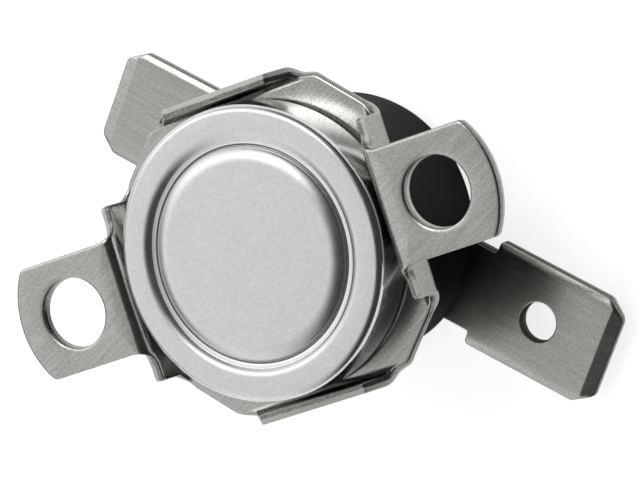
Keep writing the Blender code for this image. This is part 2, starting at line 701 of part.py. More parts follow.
def make_contacts(frame, hinge, spring_material, contact_material):
    """The spring and the moving contact hang on the hinge that stands for the spring's flex."""
    half = SPRING_WIDTH / 2
    corners = [
        (-STRIP_RISER, -half, 0.3 * MM),
        (SPRING_END, -half, 0.9 * MM),
        (SPRING_END, half, 0.9 * MM),
        (-STRIP_RISER, half, 0.3 * MM),
    ]
    loops = [rounded(corners), circle(CONTACT_HOLE_RADIUS, CONTACT_PLACE)]
    spring = flat("contact_spring", loops, SPRING_BACK, SPRING_FRONT)
    spring.parent = hinge
    spring.location -= hinge.location
    spring.data.materials.append(spring_material)
    contacts = (
        ("moving_contact", hinge, MOVING_CONTACT_FACE, SPRING_FRONT, SPRING_BACK),
        ("fixed_contact", frame, FIXED_CONTACT_FACE, SHELF_BACK, SHELF_BACK + STRIP_THICKNESS),
    )
    for name, parent, face, near, far in contacts:
        outline = contact_outline(face, near, far)
        contact = turned(name, outline, closed=False, steps=SMALL_TURN_STEPS)
        contact.location.x = CONTACT_PLACE
        contact.parent = parent
        if parent is hinge:
            contact.location -= hinge.location
        contact.data.materials.append(contact_material)


def make_empty(name, parent=None):
    empty = bpy.data.objects.new(name, None)
    bpy.data.collections[PARTS].objects.link(empty)
    empty.parent = parent
    return empty


def main():
    clear_scene()
    aluminium = finish_of("drawn_aluminium", (0.66, 0.67, 0.69), 0.35, 1.0)
    plated_steel = finish_of("plated_steel", (0.56, 0.56, 0.53), 0.32, 1.0)
    phenolic = finish_of("black_phenolic", (0.012, 0.012, 0.013), 0.35, 0.0)
    bimetal = finish_of("bimetal", (0.55, 0.53, 0.50), 0.35, 1.0)
    ceramic = finish_of("white_ceramic", (0.82, 0.80, 0.76), 0.45, 0.0)
    brass = finish_of("brass", (0.72, 0.55, 0.28), 0.30, 1.0)
    spring_copper = finish_of("spring_copper", (0.72, 0.42, 0.26), 0.28, 1.0)
    silver = finish_of("contact_silver", (0.86, 0.85, 0.82), 0.25, 1.0)

    terminal_frame = make_empty("terminal_frame")
    terminal_frame.rotation_euler.z = TERMINAL_ANGLE
    spring_hinge = make_empty("spring_hinge", terminal_frame)
    spring_hinge.location = (-SPRING_FLEX_PLACE, 0, SPRING_BACK)

    make_cap(aluminium)
    make_bracket(plated_steel)
    make_disc(bimetal)
    make_pin_guide(phenolic)
    make_push_pin(ceramic)
    make_housing(terminal_frame, phenolic)
    make_terminals(terminal_frame, plated_steel)
    make_rivet("fixed_side_rivet", RIVET_PLACE, FOOT_FRONT, terminal_frame, brass)
    make_rivet("spring_side_rivet", -RIVET_PLACE, FOOT_FRONT, terminal_frame, brass)
    make_strips(terminal_frame, brass)
    make_contacts(terminal_frame, spring_hinge, spring_copper, silver)


if __name__ == "__main__":
    main()
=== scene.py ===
"""The looks of the bimetal thermostat, in metres, +Z up, laid out as a Blender add-on.

Every piece is a surface worked out as whole arrays: a profile turned about an axis, or a flat
blank with a rim profile carried round its edges, then bent or tapered by one formula.
"""

import math

import bpy
import numpy as np
from bpy.props import FloatProperty, FloatVectorProperty, PointerProperty
from mathutils import Matrix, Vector
from mathutils.geometry import delaunay_2d_cdt


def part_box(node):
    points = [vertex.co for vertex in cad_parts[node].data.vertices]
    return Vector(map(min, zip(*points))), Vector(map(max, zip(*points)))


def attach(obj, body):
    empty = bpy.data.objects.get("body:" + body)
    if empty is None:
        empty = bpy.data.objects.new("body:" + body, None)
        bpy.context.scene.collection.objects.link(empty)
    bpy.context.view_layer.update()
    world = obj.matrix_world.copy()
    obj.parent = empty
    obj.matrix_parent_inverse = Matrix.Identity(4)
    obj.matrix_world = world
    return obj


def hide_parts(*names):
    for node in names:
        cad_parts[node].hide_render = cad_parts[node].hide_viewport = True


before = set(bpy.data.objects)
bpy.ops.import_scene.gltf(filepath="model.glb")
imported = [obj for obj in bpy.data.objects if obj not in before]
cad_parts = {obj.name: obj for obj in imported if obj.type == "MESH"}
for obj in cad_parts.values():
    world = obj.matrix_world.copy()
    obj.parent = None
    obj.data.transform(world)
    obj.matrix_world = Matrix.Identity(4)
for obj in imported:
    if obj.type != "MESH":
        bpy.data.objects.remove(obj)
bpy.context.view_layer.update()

bl_info = {
    "name": "Bimetal Thermostat",
    "version": (1, 0, 0),
    "blender": (4, 5, 0),
    "location": "3D View > Sidebar > Thermostat",
    "description": "Builds the looks of a snap-disc bimetal thermostat round its solids",
    "category": "Add Mesh",
}

MM = 0.001
CAP_LOW, CAP_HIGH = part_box("sensing_cap")
BRACKET_LOW, BRACKET_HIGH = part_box("mounting_bracket")
HOUSING_LOW, HOUSING_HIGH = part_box("housing")
TERMINAL_LOW, TERMINAL_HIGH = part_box("fixed_side_terminal")
RIVET_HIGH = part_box("fixed_side_rivet")[1]

# The line of the terminals, as an angle from +X
TERMINAL_ANGLE = math.radians(-42.2)

# Half lengths of the bracket's walls and, at their rims, of its flanges
HALF_WALL = 5.0 * MM
HALF_FLANGE = 3.375 * MM

# The gap where pieces seat on each other, and the bracket's play on each side of its plate
SEAT_GAP = 0.03 * MM
SWIVEL_PLAY = 0.05 * MM

# Distances from the axis: the cap's lip, and on its face the groove's middle, a dark hair line
# of painted shade in the groove's fold and a pale hair line of painted highlight in it, and
# where the face rounds over into the side
LIP_RADIUS = 6.33 * MM
GROOVE_RADIUS = 5.9 * MM
SHADE_LINE_RADIUS = 5.89 * MM
HIGHLIGHT_LINE_RADIUS = 5.99 * MM
SIDE_FADE = (7.6 * MM, 7.85 * MM)

# How far from its middle a painted hair line of shade or highlight on the cap's face is full,
# and where it has faded out
LINE_FADE = (0.03 * MM, 0.06 * MM)

# The bracket's blank: the holes' places and sizes, the ears' ends and the plate's chamfers
NECK_HOLE_RADIUS = 6.9 * MM
EAR_HOLE_PLACE = 11.9 * MM
EAR_END_RADIUS = 5.35 * MM
CHAMFER_DISTANCE = 9.617 * MM
CHAMFER_RISE = 0.25 * MM

# Where a rim's face still takes the plating: above this level the front rolls over into the cut
ROLLED_LEVEL = 0.7

# The terminals: their holes, and the slopes, width and softness of their bevels
RIVET_PLACE = 3.2 * MM
RIVET_HOLE_RADIUS = 0.85 * MM
BLADE_HOLE_PLACE = 12.25 * MM
TIP_BEVEL_SLOPE = 0.24 / 0.75
TIP_BEVEL_SOFTNESS = 0.02 * MM
SIDE_BEVEL_WIDTH = 0.35 * MM
SIDE_BEVEL_SLOPE = 0.13 / 0.35
SIDE_BEVEL_SOFTNESS = 0.16 * MM

# The floor's half width, and how far it lies under the rivets' heads, so that no faces coincide
FLOOR_REACH = 1.5
FLOOR_DROP = 0.02 * MM

# Fineness of the surfaces
TURN_STEPS = 192
SMALL_TURN_STEPS = 64
NECK_HOLE_STEPS = 128
EAR_HOLE_STEPS = 72
BLADE_HOLE_STEPS = 56
RIVET_HOLE_STEPS = 40
ARC_STEPS = 8
FACE_ARC_STEPS = 12
CLOSE = 0.005 * MM
MITRE_LIMIT = 1.6
SHARP_ANGLE = math.radians(40)

# A Map Range node's sockets, in the order in which this file gives their numbers
RANGE_SOCKETS = ("From Min", "From Max", "To Min", "To Max")


# Shapes as arrays


def arcs(corners, steps=ARC_STEPS):
    """A line through corners (x, y, radius) in which each corner with a radius is an arc.

    The arc's points are its centre plus the start spoke turned by even shares of the turn."""
    corners = np.asarray(corners, float)
    pieces = []
    for before, (x, y, radius), after in zip(
        np.roll(corners, 1, 0), corners, np.roll(corners, -1, 0)
    ):
        corner = np.array((x, y))
        if radius == 0:
            pieces.append(corner[None])
            continue
        a = before[:2] - corner
        b = after[:2] - corner
        a /= np.linalg.norm(a)
        b /= np.linalg.norm(b)
        half = math.acos(np.clip(a @ b, -1, 1)) / 2
        bisector = (a + b) / np.linalg.norm(a + b)
        centre = corner + bisector * radius / math.sin(half)
        spoke = corner + a * radius / math.tan(half) - centre
        turn = math.copysign(math.pi - 2 * half, b[0] * a[1] - b[1] * a[0])
        angles = np.linspace(0, turn, steps + 1)
        cos, sin = np.cos(angles), np.sin(angles)
        turned = np.stack([spoke[0] * cos - spoke[1] * sin, spoke[0] * sin + spoke[1] * cos], 1)
        pieces.append(centre + turned)
    return np.concatenate(pieces)


def moved(path, distance):
    """An open path moved by the distance to the right of its direction of travel, along mitred
    normals. Points on the axis stay on it."""
    steps = np.diff(path, axis=0)
    steps /= np.linalg.norm(steps, axis=1)[:, None]
    before = np.vstack([steps[:1], steps])
    after = np.vstack([steps, steps[-1:]])
    along = before + after
    along /= np.linalg.norm(along, axis=1)[:, None]
    across = np.stack([along[:, 1], -along[:, 0]], 1)
    across *= (distance / (along * after).sum(1))[:, None]
    across[path[:, 0] == 0, 0] = 0
    return path + across


def circle(radius, steps, x=0.0):
    """Points at even angles round (x, 0), each the centre plus radius times (cos, sin)."""
    angles = np.linspace(0, 2 * math.pi, steps, endpoint=False)
    return np.stack([x + radius * np.cos(angles), radius * np.sin(angles)], 1)


def turned(profile, closed, steps=TURN_STEPS):
    """A profile (radius, height) turned about Z: x = r cos a, y = r sin a, z = height.

    The profile runs down the outer side, so that the faces point outwards. Points on the axis
    are single vertices with a fan of triangles."""
    angles = np.linspace(0, 2 * math.pi, steps, endpoint=False)
    radius, height = profile[:, 0, None], profile[:, 1, None]
    grid = np.stack(
        [radius * np.cos(angles), radius * np.sin(angles), height + 0 * angles], -1
    )
    index = np.arange(grid.shape[0] * steps).reshape(-1, steps)
    poles = profile[:, 0] == 0
    index[poles] = index[poles][:, :1]
    upper = index if closed else index[:-1]
    lower = np.roll(index, -1, 0) if closed else index[1:]
    quads = np.stack([upper, lower, np.roll(lower, -1, 1), np.roll(upper, -1, 1)], -1)
    return grid.reshape(-1, 3), quads.reshape(-1, 4)


def add_piece(name, points, faces, body, node, attributes=None):
    """A mesh object at the origin whose place is in its vertices. Repeated corners in a face
    are dropped, so a quad at a pole becomes a triangle, and loose vertices are removed."""
    used, index = np.unique(np.concatenate([np.ravel(f) for f in faces]), return_inverse=True)
    points = np.asarray(points)[used]
    rows, start = [], 0
    for f in faces:
        size = f.size
        renumbered = index[start : start + size].reshape(f.shape)
        start += size
        if f.shape[1] == 4:
            first = renumbered[:, 0] == renumbered[:, 3]
            last = renumbered[:, 1] == renumbered[:, 2]
            rows += renumbered[first][:, :3].tolist()
            rows += renumbered[last][:, [0, 1, 3]].tolist()
            rows += renumbered[~first & ~last].tolist()
        else:
            rows += renumbered.tolist()
    mesh = bpy.data.meshes.new(name)
    mesh.from_pydata(points.tolist(), [], rows)
    for label, values in (attributes or {}).items():
        attribute = mesh.attributes.new(label, "FLOAT", "POINT")
        attribute.data.foreach_set("value", np.asarray(values, np.float32)[used])
    mesh.update()
    mesh.shade_smooth()
    mesh.set_sharp_from_angle(angle=SHARP_ANGLE)
    piece = bpy.data.objects.new(name, mesh)
    bpy.context.scene.collection.objects.link(piece)
    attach(piece, body)
    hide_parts(node)
    return piece


def in_terminal_frame(points):
    """The points turned about Z by the terminals' angle."""
    cos, sin = math.cos(TERMINAL_ANGLE), math.sin(TERMINAL_ANGLE)
    turn = np.array([[cos, sin, 0], [-sin, cos, 0], [0, 0, 1]])
    return points @ turn


def cut_at(loop, value, axis):
    """The loop with a point put in wherever an edge crosses coordinate = value, unless one of
    the edge's ends is close enough to stand for it."""
    ends = np.roll(loop, -1, 0)
    a, b = loop[:, axis] - value, ends[:, axis] - value
    share = np.divide(a, a - b, out=np.zeros_like(a), where=a != b)
    crossing = loop + (ends - loop) * share[:, None]
    found = (a * b < 0) & (np.abs(a) > CLOSE) & (np.abs(b) > CLOSE)
    places = np.nonzero(found)[0]
    return np.insert(loop, places + 1, crossing[places], axis=0)


def inward(loop):
    """Mitred unit normals of a closed loop, to the left of its direction of travel."""
    after = np.roll(loop, -1, 0) - loop
    after /= np.linalg.norm(after, axis=1)[:, None]
    before = np.roll(after, 1, 0)
    left = np.stack([-(before + after)[:, 1], (before + after)[:, 0]], 1)
    length = np.linalg.norm(left, axis=1)
    left /= length[:, None]
    return left * (2 / length)[:, None].clip(0, MITRE_LIMIT)


def inside(points, loops):
    """Even-odd test: a point is inside if a ray along +X from it crosses the loops an odd
    number of times."""
    count = np.zeros(len(points), int)
    x, y = points[:, 0, None], points[:, 1, None]
    for loop in loops:
        ax, ay = loop[:, 0], loop[:, 1]
        bx, by = np.roll(ax, -1), np.roll(ay, -1)
        spans = (ay > y) != (by > y)
        rise = np.where(by == ay, 1, by - ay)
        count += (spans & (x < (bx - ax) * (y - ay) / rise + ax)).sum(1)
    return count % 2 == 1


def filled(loops, inner_points, bars):
    """Triangles that fill the outline less its holes, through the inner points and along the
    bars, as indices into the loops' points followed by the inner points."""
    points = np.concatenate([*loops, inner_points]) / MM
    starts = np.cumsum([0] + [len(loop) for loop in loops])
    edges = [
        np.stack([np.arange(n), np.roll(np.arange(n), -1)], 1) + start
        for start, n in zip(starts, [len(loop) for loop in loops])
    ]
    edges = np.concatenate([*edges, np.asarray(bars, int).reshape(-1, 2)])
    made, _, triangles, sources, _, _ = delaunay_2d_cdt(
        points.tolist(), edges.tolist(), [], 0, 1e-6
    )
    if len(made) != len(points):
        raise RuntimeError("the blank's edges cross or touch each other")
    source = np.array([row[0] for row in sources])
    triangles = source[np.array(triangles)]
    kept = inside(points[triangles].mean(1), [loop / MM for loop in loops])
    return triangles[kept]


def sheet(loops, rims, place, inner_points=np.zeros((0, 2)), bars=()):
    """A sheet from its flat blank. Each loop has a rim profile of (inset, level) from the front
    (level 1) to the back (level -1): ring k of the loop is the loop moved by inset k along its
    inward normals. place(xy, level) puts every point in space.

    Returns the points, the faces of the two sides and of the rim, and each point's level."""
    normals = [inward(loop) for loop in loops]
    fronts = [loop + n * rim[0, 0] for loop, n, rim in zip(loops, normals, rims)]
    triangles = filled(fronts, inner_points, bars)
    sizes = [len(loop) for loop in loops]
    total = sum(sizes)
    flat, level, rim_faces = [], [], []
    first = 2 * (total + len(inner_points))
    ring_ends = {0: [], 1: []}
    for loop, normal, rim in zip(loops, normals, rims):
        rings = loop[None] + normal[None] * rim[:, 0, None, None]
        flat.append(rings.reshape(-1, 2))
        level.append(np.repeat(rim[:, 1], len(loop)))
        index = first + np.arange(rings.shape[0] * len(loop)).reshape(-1, len(loop))
        ring_ends[0].append(index[0])
        ring_ends[1].append(index[-1])
        upper, lower = index[:-1], index[1:]
        rim_faces.append(
            np.stack(
                [upper, lower, np.roll(lower, -1, 1), np.roll(upper, -1, 1)], -1
            ).reshape(-1, 4)
        )
        first += index.size
    inner = np.arange(len(inner_points))
    placeholder = np.zeros((total, 2))
    points = np.concatenate([placeholder, inner_points, placeholder, inner_points, *flat])
    levels = np.concatenate(
        [np.ones(total + len(inner)), -np.ones(total + len(inner)), *level]
    )
    front_index = np.concatenate([*ring_ends[0], total + inner])
    back_index = np.concatenate([*ring_ends[1], 2 * total + len(inner) + inner])
    front = front_index[triangles]
    back = back_index[triangles][:, ::-1]
    return place(points, levels), [front, back], np.concatenate(rim_faces), levels


# Materials


class Shader:
    """A material's node tree with short ways to add and join its nodes."""

    def __init__(self, name, colour, roughness, metallic=0.0):
        self.material = bpy.data.materials.new(name)
        self.material.use_nodes = True
        self.material.diffuse_color = (*colour, 1)
        self.tree = self.material.node_tree
        self.surface = self.tree.nodes["Principled BSDF"]
        self.surface.inputs["Base Color"].default_value = (*colour, 1)
        self.surface.inputs["Roughness"].default_value = roughness
        self.surface.inputs["Metallic"].default_value = metallic
        self.place = self.node("ShaderNodeTexCoord").outputs["Object"]

    def feed(self, socket, value):
        """Links a node's output to the socket, or sets a plain value on it."""
        if isinstance(value, bpy.types.NodeSocket):
            self.tree.links.new(value, socket)
        else:
            socket.default_value = value

    def node(self, kind, settings=None, **inputs):
        """A new node with its settings, and its inputs by name, with _ for a space."""
        made = self.tree.nodes.new(kind)
        for key, value in (settings or {}).items():
            setattr(made, key, value)
        for key, value in inputs.items():
            self.feed(made.inputs[key.replace("_", " ")], value)
        return made

    def noise(self, scale, detail=3.0, roughness=0.55, stretch=(1, 1, 1), turn=0.0):
        """Noise on the piece's own coordinates, turned about Z and then finer along an axis
        where stretch is larger."""
        place = self.place
        if stretch != (1, 1, 1) or turn:
            mapping = self.node(
                "ShaderNodeMapping",
                {"vector_type": "TEXTURE"},
                Vector=place,
                Scale=tuple(1 / share for share in stretch),
            )
            mapping.inputs["Rotation"].default_value = (0, 0, turn)
            place = mapping.outputs["Vector"]
        made = self.node(
            "ShaderNodeTexNoise", Vector=place, Scale=scale, Detail=detail, Roughness=roughness
        )
        return made.outputs["Fac"]

    def remap(self, value, low, high, out_low, out_high):
        """The value taken linearly from one range to another, and held at its ends."""
        made = self.node("ShaderNodeMapRange", Value=value)
        for key, number in zip(RANGE_SOCKETS, (low, high, out_low, out_high)):
            made.inputs[key].default_value = number
        return made.outputs["Result"]

    def math(self, operation, *values):
        """The result of one arithmetic operation on the values."""
        made = self.node("ShaderNodeMath", {"operation": operation})
        for socket, value in zip(made.inputs, values):
            self.feed(socket, value)
        return made.outputs["Value"]

    def mix(self, share, first, second):
        """A colour between the two, by the share. For colours, the Mix node's sockets are its
        inputs 0, 6 and 7 and its output 2."""
        made = self.node("ShaderNodeMix", {"data_type": "RGBA"})
        self.feed(made.inputs[0], share)
        for index, colour in ((6, first), (7, second)):
            self.feed(made.inputs[index], (*colour, 1) if isinstance(colour, tuple) else colour)
        return made.outputs[2]

    def set(self, **sockets):
        """Links each value to the surface's socket of that name, with _ for a space."""
        for key, value in sockets.items():
            self.tree.links.new(value, self.surface.inputs[key.replace("_", " ")])

    def bump(self, height, depth):
        """Relief of that depth in metres on the surface."""
        made = self.node("ShaderNodeBump", Height=height, Distance=depth)
        self.set(Normal=made.outputs["Normal"])


def scaled(colour, share):
    """The colour times the share, with no channel over 1."""
    return tuple(min(1.0, c * share) for c in colour)


def aluminium_material(colour):
    """Drawn aluminium: a matt, speckled grain and faint mottling on the flats. The die and the
    punch have polished the groove with its two shoulders, and the side. Two painted hair lines
    run round the groove: a near-black one of painted shade in the fold, and a near-white one of
    painted highlight beside it."""
    shader = Shader("drawn_aluminium_finish", colour, 0.38, 1.0)
    speckle = shader.math("MULTIPLY", shader.noise(8500, 2, 0.7), 0.85)
    mottle = shader.math("MULTIPLY", shader.noise(1100, 3), 0.15)
    grain = shader.math("ADD", speckle, mottle)
    tone = shader.remap(grain, 0.34, 0.66, 0.0, 1.0)
    speckled = shader.mix(tone, scaled(colour, 0.91), scaled(colour, 1.08))
    across = shader.node("ShaderNodeVectorMath", {"operation": "MULTIPLY"})
    shader.feed(across.inputs[0], shader.place)
    shader.feed(across.inputs[1], (1, 1, 0))
    length = shader.node("ShaderNodeVectorMath", {"operation": "LENGTH"})
    shader.feed(length.inputs[0], across.outputs[0])
    radius = length.outputs["Value"]

    def distance_from(ring):
        return shader.math("ABSOLUTE", shader.math("SUBTRACT", radius, ring))

    # Painted shade: a near-black hair line in the groove's fold. Painted highlight: a near-white
    # hair line beside it.
    painted_shade_line = shader.remap(distance_from(SHADE_LINE_RADIUS), *LINE_FADE, 0.9, 0.0)
    painted_highlight_line = shader.remap(distance_from(HIGHLIGHT_LINE_RADIUS), *LINE_FADE, 1.0, 0.0)
    shade_lined = shader.mix(painted_shade_line, speckled, (0.05, 0.05, 0.05))
    shader.set(Base_Color=shader.mix(painted_highlight_line, shade_lined, (0.98, 0.98, 0.98)))
    in_groove = shader.remap(distance_from(GROOVE_RADIUS), 0.45 * MM, 0.85 * MM, 0.06, 0.0)
    on_side = shader.remap(radius, *SIDE_FADE, 0.0, 0.18)
    scuffs = shader.remap(shader.noise(900, 5, 0.65), 0.3, 0.7, 0.34, 0.42)
    on_face = shader.math("SUBTRACT", scuffs, in_groove)
    shader.set(Roughness=shader.math("SUBTRACT", on_face, on_side))
    shader.bump(grain, 0.003 * MM)
    return shader.material


def plated_material(name, colour, turn):
    """Plated sheet: the fine streaks of rolling under the plating, and a speckled grain."""
    shader = Shader(name, colour, 0.2, 1.0)
    speckle = shader.math("MULTIPLY", shader.noise(8000, 2, 0.7), 0.6)
    rolling = shader.noise(2200, 3, 0.6, (0.15, 2.2, 1.0), turn)
    grain = shader.math("ADD", speckle, shader.math("MULTIPLY", rolling, 0.4))
    cloud = shader.noise(260, 3)
    tone = shader.remap(grain, 0.34, 0.66, 0.0, 1.0)
    shader.set(Base_Color=shader.mix(tone, scaled(colour, 0.77), scaled(colour, 1.22)))
    shader.set(Roughness=shader.remap(cloud, 0.3, 0.7, 0.17, 0.26))
    shader.bump(grain, 0.003 * MM)
    return shader.material


def cut_edge_material(name, colour):
    """A punched edge: from the front, a smooth sheared band, then a rough and paler break. The
    sheared band's colour is darkened as painted shade for the dark things its smooth face
    mirrors. The piece's level attribute runs from 1 at the front to -1 at the back."""
    shader = Shader(name, colour, 0.3, 1.0)
    level = shader.node("ShaderNodeAttribute", {"attribute_name": "level"}).outputs["Fac"]
    ragged = shader.math("MULTIPLY", shader.math("SUBTRACT", shader.noise(3000, 4), 0.5), 0.5)
    depth = shader.math("ADD", level, ragged)
    broken = shader.remap(depth, -0.02, -0.12, 0.0, 1.0)
    lines = shader.remap(shader.noise(4200, 3, 0.6, (1, 1, 0.12)), 0.35, 0.65, 0.0, 1.0)
    # Painted shade: the sheared band's colour is darkened to stand in for the dark reflections
    # of its smooth face. Its streaks are real die lines.
    sheared = shader.mix(lines, scaled(colour, 0.42), scaled(colour, 0.68))
    shader.set(Base_Color=shader.mix(broken, sheared, scaled(colour, 1.45)))
    shader.set(Roughness=shader.remap(broken, 0, 1, 0.25, 0.62))
    rough = shader.math("MULTIPLY", shader.noise(5000, 4), broken)
    shader.bump(rough, 0.02 * MM)
    return shader.material


def phenolic_material(colour):
    """Black moulding compound: slightly glossy, with a fine filler grain."""
    shader = Shader("black_phenolic_finish", colour, 0.4)
    grain = shader.noise(3600, 3)
    patches = shader.noise(350, 3)
    shader.set(Base_Color=shader.mix(grain, scaled(colour, 0.7), scaled(colour, 1.5)))
    shader.set(Roughness=shader.remap(patches, 0.3, 0.7, 0.36, 0.50))
    shader.surface.inputs["Specular IOR Level"].default_value = 0.1
    shader.bump(grain, 0.004 * MM)
    return shader.material


def metal_material(name, colour, roughness):
    """A plain inner metal: rolled, with light staining."""
    shader = Shader(name, colour, roughness, 1.0)
    stain = shader.noise(600, 4)
    grain = shader.noise(2600, 3)
    shader.set(Base_Color=shader.mix(stain, scaled(colour, 0.8), scaled(colour, 1.1)))
    shader.set(Roughness=shader.remap(grain, 0.3, 0.7, roughness - 0.06, roughness + 0.08))
    shader.bump(grain, 0.004 * MM)
    return shader.material


def ceramic_material():
    """Fired steatite: off-white, matt, with a chalky grain."""
    shader = Shader("white_ceramic_finish", (0.80, 0.78, 0.74), 0.5)
    grain = shader.noise(4000, 3)
    shader.set(Base_Color=shader.mix(grain, (0.74, 0.72, 0.67), (0.84, 0.82, 0.78)))
    shader.bump(grain, 0.004 * MM)
    return shader.material


# What a user would change


class CapSettings(bpy.types.PropertyGroup):
    wall: FloatProperty(
        name="Wall", description="Thickness of the drawn cap", default=0.4 * MM, unit="LENGTH"
    )
    ring_width: FloatProperty(
        name="Ring Width",
        description="From the cap's side to the inner edge of its flat ring",
        default=1.59 * MM,
        unit="LENGTH",
    )
    groove_depth: FloatProperty(
        name="Groove Depth",
        description="From the ring down to the groove's bottom",
        default=0.39 * MM,
        unit="LENGTH",
    )
    boss_proud: FloatProperty(
        name="Boss Height",
        description="How far the boss stands in front of the ring",
        default=0.14 * MM,
        unit="LENGTH",
    )
    colour: FloatVectorProperty(
        name="Colour",
        description="Reflected colour of the aluminium",
        default=(0.80, 0.81, 0.815),
        subtype="COLOR",
        min=0,
        max=1,
    )


class BracketSettings(bpy.types.PropertyGroup):
    sheet: FloatProperty(
        name="Sheet", description="Thickness of the sheet", default=0.6 * MM, unit="LENGTH"
    )
    foot_bend: FloatProperty(
        name="Foot Bend",
        description="Radius at the sheet's middle where a wall or flange leaves the plate",
        default=0.75 * MM,
        unit="LENGTH",
    )
    ear_bend: FloatProperty(
        name="Ear Bend",
        description="Radius at the sheet's middle where an ear leaves its wall",
        default=0.45 * MM,
        unit="LENGTH",
    )
    flange_height: FloatProperty(
        name="Flange Height",
        description="From the plate's back to the flanges' rims",
        default=2.1 * MM,
        unit="LENGTH",
    )
    ear_width: FloatProperty(
        name="Ear Width", description="Width of each ear", default=6.35 * MM, unit="LENGTH"
    )
    ear_hole: FloatProperty(
        name="Ear Hole Radius",
        description="Radius of the hole in each ear",
        default=1.95 * MM,
        unit="LENGTH",
    )
    colour: FloatVectorProperty(
        name="Colour",
        description="Reflected colour of the plating",
        default=(0.47, 0.47, 0.445),
        subtype="COLOR",
        min=0,
        max=1,
    )


class TerminalSettings(bpy.types.PropertyGroup):
    width: FloatProperty(
        name="Blade Width",
        description="Width of each quick-connect blade",
        default=6.3 * MM,
        unit="LENGTH",
    )
    hole: FloatProperty(
        name="Hole Radius",
        description="Radius of the hole that a receptacle's dimple snaps into",
        default=1.09 * MM,
        unit="LENGTH",
    )
    tip_bevel: FloatProperty(
        name="Tip Bevel",
        description="Length of the bevel at a blade's tip",
        default=0.75 * MM,
        unit="LENGTH",
    )
    colour: FloatVectorProperty(
        name="Colour",
        description="Reflected colour of the plating",
        default=(0.46, 0.46, 0.435),
        subtype="COLOR",
        min=0,
        max=1,
    )


class HousingSettings(bpy.types.PropertyGroup):
    edge: FloatProperty(
        name="Edge Radius",
        description="Rounding of the barrel's back edge",
        default=0.3 * MM,
        unit="LENGTH",
    )
    colour: FloatVectorProperty(
        name="Colour",
        description="Colour of the moulding compound",
        default=(0.007, 0.007, 0.0075),
        subtype="COLOR",
        min=0,
        max=1,
    )


class StageSettings(bpy.types.PropertyGroup):
    key_power: FloatProperty(
        name="Key Power", description="Power of the key lamp", default=0.14, unit="POWER"
    )
    floor_colour: FloatVectorProperty(
        name="Floor Colour",
        description="Colour of the floor",
        default=(0.8, 0.8, 0.8),
        subtype="COLOR",
        min=0,
        max=1,
    )


# Pieces


class THERMOSTAT_OT_cap(bpy.types.Operator):
    """Add the drawn aluminium cap that senses the temperature"""

    bl_idname = "thermostat.cap"
    bl_label = "Add Cap"

    def execute(self, context):
        settings = context.scene.thermostat_cap
        side = CAP_HIGH.x
        front = CAP_HIGH.z - settings.boss_proud
        groove = front - settings.groove_depth
        ring = side - settings.ring_width
        back_of_groove = groove - 0.04 * MM
        # Corners are (distance from the axis, height, rounding), from the axis out and down
        edge = [
            (side, front, 0.42 * MM),
            (side, CAP_LOW.z, 0.45 * MM),
            (LIP_RADIUS, CAP_LOW.z, 0),
        ]
        face = arcs(
            [
                (0, CAP_HIGH.z, 0),
                (ring - 1.15 * MM, CAP_HIGH.z, 1.3 * MM),
                (ring - 0.63 * MM, groove + 0.2475 * MM, 0.4 * MM),
                (ring - 0.60 * MM, groove, 0.015 * MM),
                (ring - 0.575 * MM, groove + 0.10 * MM, 0.02 * MM),
                (ring - 0.25 * MM, groove + 0.155 * MM, 0.1 * MM),
                (ring, front, 0.6 * MM),
                *edge,
            ],
            FACE_ARC_STEPS,
        )
        middle = arcs(
            [
                (0, CAP_HIGH.z, 0),
                (ring - 1.08 * MM, CAP_HIGH.z, 0.85 * MM),
                (ring - 0.55 * MM, back_of_groove, 0.05 * MM),
                (ring - 0.42 * MM, back_of_groove, 0.05 * MM),
                (ring, front, 0.65 * MM),
                *edge,
            ],
            FACE_ARC_STEPS,
        )
        inner = moved(middle, settings.wall)
        points, quads = turned(np.vstack([face, inner[::-1]]), closed=False)
        piece = add_piece(
            "cap_shell", points, [quads], "switch_body", "sensing_cap"
        )
        piece.data.materials.append(aluminium_material(settings.colour[:]))
        return {"FINISHED"}


